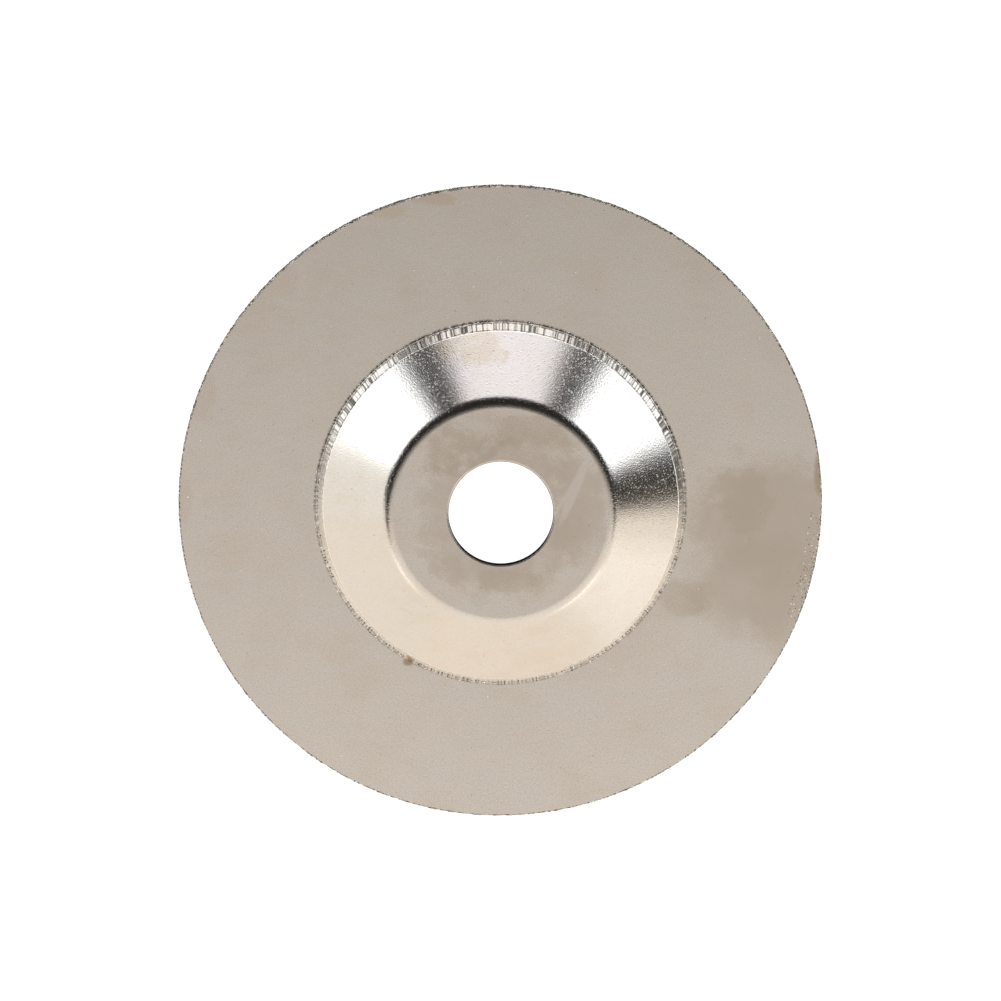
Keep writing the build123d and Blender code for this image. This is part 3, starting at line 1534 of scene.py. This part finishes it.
def finish_piece(piece: bpy.types.Object, finish: bpy.types.Material, slot: str, node: str) -> None:
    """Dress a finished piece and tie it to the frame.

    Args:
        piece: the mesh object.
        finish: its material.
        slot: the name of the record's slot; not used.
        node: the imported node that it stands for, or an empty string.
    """
    piece.data.materials.clear()
    piece.data.materials.append(finish)
    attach(piece, "root")
    if node:
        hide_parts(node)


# ---------------------------------------------------------------- studio


@dataclass(frozen=True)
class Softbox:
    """A lamp's window in the sky: bearings from +X, tilts from overhead, soft edge, and light."""

    bearing: Point
    tilt: Point
    soft: float
    light: Light


@dataclass
class Studio:
    """Camera, white floor and surrounding light."""

    sizes: DiscSizes
    distance: float = 1500.0
    tilt: float = 11.7
    bearing: float = 92.6
    field_width: float = 155.3
    sensor: float = 36.0
    aim: Point = (0.015, 0.38)
    dark: Light = (0.018, 0.016, 0.015)
    near_cream: Light = (1.23, 1.14, 1.085)
    far_cream: Light = (1.24, 1.14, 1.045)
    horizon: Light = (1.02, 0.93, 0.84)
    sweep_edge: Point = (-0.145, -0.175)
    sweep_skew: float = 0.042
    cream_tilt: Point = (20, 50)
    horizon_tilt: Point = (66, 78)
    clip: Point = (0.01, 20.0)
    floor_size: float = 8.0
    floor_drop: float = 0.2
    floor_glow: float = 1.1
    floor_dull: Colour = (0.16, 0.155, 0.15, 1)
    lamps: tuple[Softbox, ...] = (
        Softbox((-28, 4), (16, 40), 2.5, (0.02, 0.018, 0.016)),
        Softbox((-193, -148), (14, 40), 2.5, (0.02, 0.018, 0.016)),
        Softbox((165, 200), (50, 76), 5.0, (1.26, 1.23, 1.20)),
        Softbox((-200, -160), (50, 76), 5.0, (1.26, 1.21, 1.16)),
        Softbox((-114, -66), (58, 80), 7.0, (1.27, 1.13, 1.02)),
        Softbox((62, 113), (42, 68), 2.5, (1.34, 1.32, 1.45)),
        Softbox((58, 118), (57, 67), 2.5, (2.5, 2.5, 2.6)),
        Softbox((-66, -44), (43, 51), 3.0, (2.2, 2.1, 2.0)),
        Softbox((133, 170), (40, 66), 3.0, (2.3, 2.4, 2.6)),
        Softbox((8, 44), (40, 66), 3.0, (2.3, 2.4, 2.6)),
        Softbox((-60, -26), (52, 72), 6.0, (1.54, 1.45, 1.38)),
        Softbox((-142, -126), (41, 52), 4.0, (1.9, 1.75, 1.6)),
        Softbox((-24, 60), (80, 95), 3.0, (2.0, 2.0, 2.0)),
        Softbox((120, 204), (80, 95), 3.0, (2.0, 2.0, 2.0)),
    )

    def place_camera(self) -> None:
        """Stand the camera over the disc, with +Y upwards in its view."""
        tilt = math.radians(self.tilt)
        bearing = math.radians(self.bearing)
        back = Vector(
            (math.sin(tilt) * math.cos(bearing), math.sin(tilt) * math.sin(bearing), math.cos(tilt))
        )
        target = Vector((self.aim[0], self.aim[1], self.sizes.ring_back)) * MM
        side = Vector((0, 1, 0)).cross(back).normalized()
        up = back.cross(side)
        data = bpy.data.cameras.new("camera")
        data.sensor_width = self.sensor
        data.lens = self.sensor * self.distance / self.field_width
        data.clip_start, data.clip_end = self.clip
        camera = bpy.data.objects.new("camera", data)
        turn = Matrix((side, up, back)).transposed().to_4x4()
        camera.matrix_world = Matrix.Translation(target + back * self.distance * MM) @ turn
        bpy.context.scene.collection.objects.link(camera)
        bpy.context.scene.camera = camera

    def lay_floor(self) -> None:
        """Lay a floor that is white to look at and dark to reflect."""
        deselect()
        bpy.ops.mesh.primitive_plane_add(size=self.floor_size, location=(0, 0, -self.floor_drop * MM))
        floor = bpy.context.object
        floor.name = "floor"
        material, wires = new_material("floor_white")
        seen = wires.node("ShaderNodeLightPath").outputs["Is Camera Ray"]
        white = wires.node("ShaderNodeEmission")
        white.inputs["Strength"].default_value = self.floor_glow
        dull = wires.node("ShaderNodeBsdfDiffuse")
        dull.inputs["Color"].default_value = self.floor_dull
        choose = wires.node("ShaderNodeMixShader")
        wires.feed(choose.inputs[0], seen)
        wires.feed(choose.inputs[1], dull.outputs[0])
        wires.feed(choose.inputs[2], white.outputs[0])
        output = wires.node("ShaderNodeOutputMaterial")
        wires.feed(output.inputs["Surface"], choose.outputs[0])
        floor.data.materials.append(material)

    def light_sky(self) -> None:
        """Surround the disc with a dark ceiling, a cream sweep, a pale horizon and the softboxes."""
        world = bpy.data.worlds.new("studio")
        world.use_nodes = True
        bpy.context.scene.world = world
        wires = Wiring(world.node_tree)
        split = wires.node("ShaderNodeSeparateXYZ")
        wires.feed(split.inputs[0], wires.node("ShaderNodeTexCoord").outputs["Generated"])
        x, y, z = split.outputs
        tilt = wires.math("DEGREES", wires.math("ARCCOSINE", z))
        bearing = wires.math("DEGREES", wires.math("ARCTAN2", y, x))
        cream = wires.step(tilt, *self.cream_tilt)
        cream = wires.mix(cream, (*self.near_cream, 1), (*self.far_cream, 1))
        colour = wires.mix(wires.step(tilt, *self.horizon_tilt), (*self.dark, 1), (*self.horizon, 1))
        skewed = wires.math("MULTIPLY_ADD", x, self.sweep_skew, y)
        colour = wires.mix(wires.step(skewed, *self.sweep_edge), colour, cream)
        for lamp in self.lamps:
            share = wires.math(
                "MULTIPLY",
                wires.window(bearing, *lamp.bearing, lamp.soft),
                wires.window(tilt, *lamp.tilt, lamp.soft),
            )
            colour = wires.mix(share, colour, (*lamp.light, 1))
        sky = wires.node("ShaderNodeBackground")
        wires.feed(sky.inputs["Color"], colour)
        white = wires.node("ShaderNodeBackground")
        white.inputs["Color"].default_value = (1, 1, 1, 1)
        choose = wires.node("ShaderNodeMixShader")
        wires.feed(choose.inputs[0], wires.node("ShaderNodeLightPath").outputs["Is Camera Ray"])
        wires.feed(choose.inputs[1], sky.outputs[0])
        wires.feed(choose.inputs[2], white.outputs[0])
        output = wires.node("ShaderNodeOutputWorld")
        wires.feed(output.inputs["Surface"], choose.outputs[0])

    def build(self) -> None:
        """Set up the whole studio."""
        bpy.context.scene.view_settings.view_transform = "Standard"
        self.place_camera()
        self.lay_floor()
        self.light_sky()


# ---------------------------------------------------------------- making


def read_sizes() -> DiscSizes:
    """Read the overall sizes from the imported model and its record.

    Returns:
        The sizes of the disc.
    """
    _, grit_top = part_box("face_grit")
    _, film_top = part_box("nickel_plating")
    bore = next(m for m in frame["record"]["mounts"] if m["name"] == "bore")
    return DiscSizes(
        rim_radius=round(grit_top.x / MM, 3),
        working_height=round(film_top.z / MM, 3),
        bore_radius=bore["dims"]["r_mm"],
    )


def report(pieces: list[bpy.types.Object]) -> None:
    """Log each piece with its triangles.

    Args:
        pieces: the pieces.
    """
    for piece in pieces:
        triangles = sum(len(face.vertices) - 2 for face in piece.data.polygons)
        log.info("%s: %d triangles", piece.name, triangles)


def main() -> None:
    """Build the disc and its studio."""
    logging.basicConfig(level=logging.INFO, format="%(message)s")
    sizes = read_sizes()
    Studio(sizes).build()
    satin = SatinNickel().make()
    diamond = DiamondGrain().make()
    blank = frame["nodes"]["steel_blank"]
    blank.data.materials.clear()
    blank.data.materials.append(SheetSteel().make())
    report([blank])
    report(Plating(sizes, satin).build())
    report(Bond(sizes, BondNickel().make()).build())
    report(Grit(sizes, diamond, BeadNickel().make()).build())


if __name__ == "__main__":
    main()
